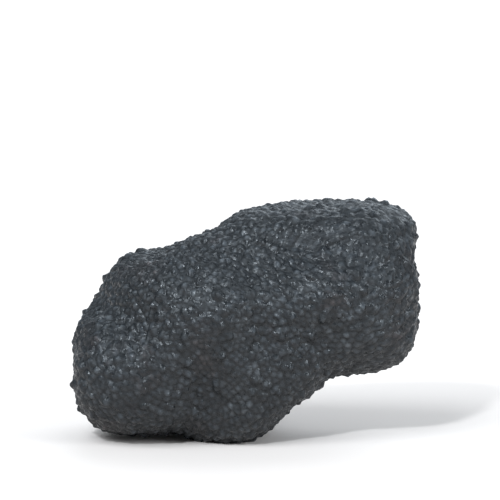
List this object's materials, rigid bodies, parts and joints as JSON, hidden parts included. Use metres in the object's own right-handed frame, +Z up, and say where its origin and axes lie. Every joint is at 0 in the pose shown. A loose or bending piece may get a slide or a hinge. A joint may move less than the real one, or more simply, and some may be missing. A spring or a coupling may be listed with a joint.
{
  "type": "black truffle",
  "caption": "Whole black summer truffle: a lumpy, elongated dark tuber covered in small pyramid warts, with a small flat spot to rest on.",
  "frame": {"origin": "middle of the small flat spot that the truffle rests on", "axes": "+Z up, away from the flat spot; +X along the tuber, from its low foot to its high crown; -Y towards the viewer of the picture"},
  "size_m": [0.0471, 0.0323, 0.0315],
  "materials": {
    "skin": "rough, slightly moist near-black fungus rind"
  },
  "bodies": {
    "root": {"truffle": "skin"}
  },
  "joints": []
}
